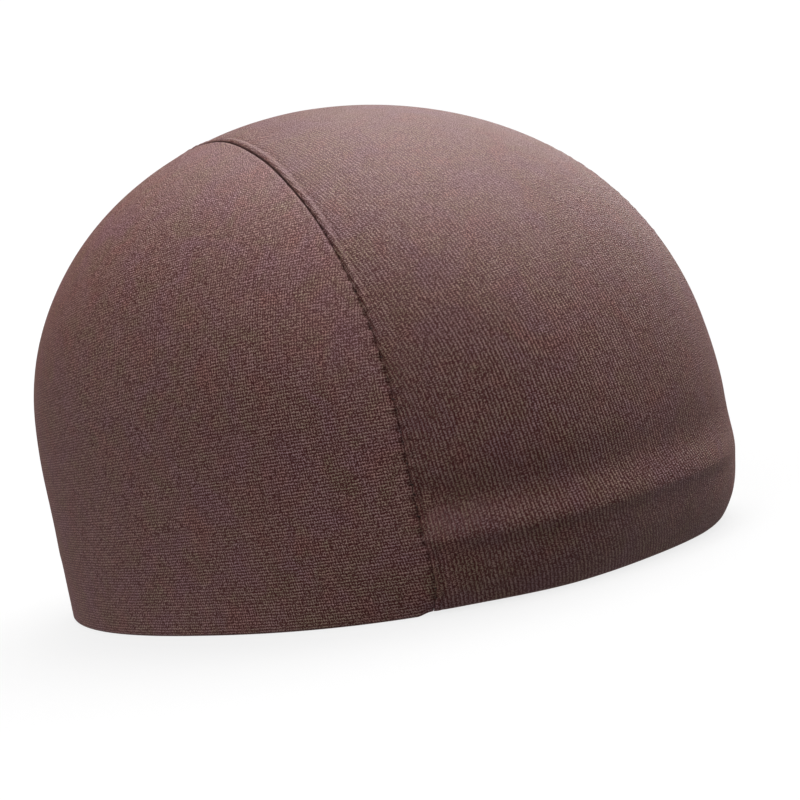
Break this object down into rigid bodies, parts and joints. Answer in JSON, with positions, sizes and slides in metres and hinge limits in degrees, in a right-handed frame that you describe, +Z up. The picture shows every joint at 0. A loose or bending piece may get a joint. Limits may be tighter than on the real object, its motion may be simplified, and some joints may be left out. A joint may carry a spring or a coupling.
{
  "type": "military beanie",
  "caption": "Close-fitting stretch-knit skull cap with a centre strip from forehead to nape, a panel over each ear and a turned-up hem.",
  "frame": {"origin": "middle of the cap's length and width, in the plane that the hem rests on", "axes": "+Z up through the crown, -Y towards the forehead, -X towards the wearer's right ear"},
  "size_m": [0.1522, 0.1963, 0.1231],
  "materials": {
    "strip_knit": "brown ribbed stretch knit, matt with a soft sheen",
    "panel_knit": "brown fine mesh stretch knit, matt with a soft sheen",
    "sewing_thread": "dark brown spun polyester thread"
  },
  "bodies": {
    "root": {"centre_strip": "strip_knit", "side_panel_right": "panel_knit", "side_panel_left": "panel_knit"}
  },
  "joints": []
}
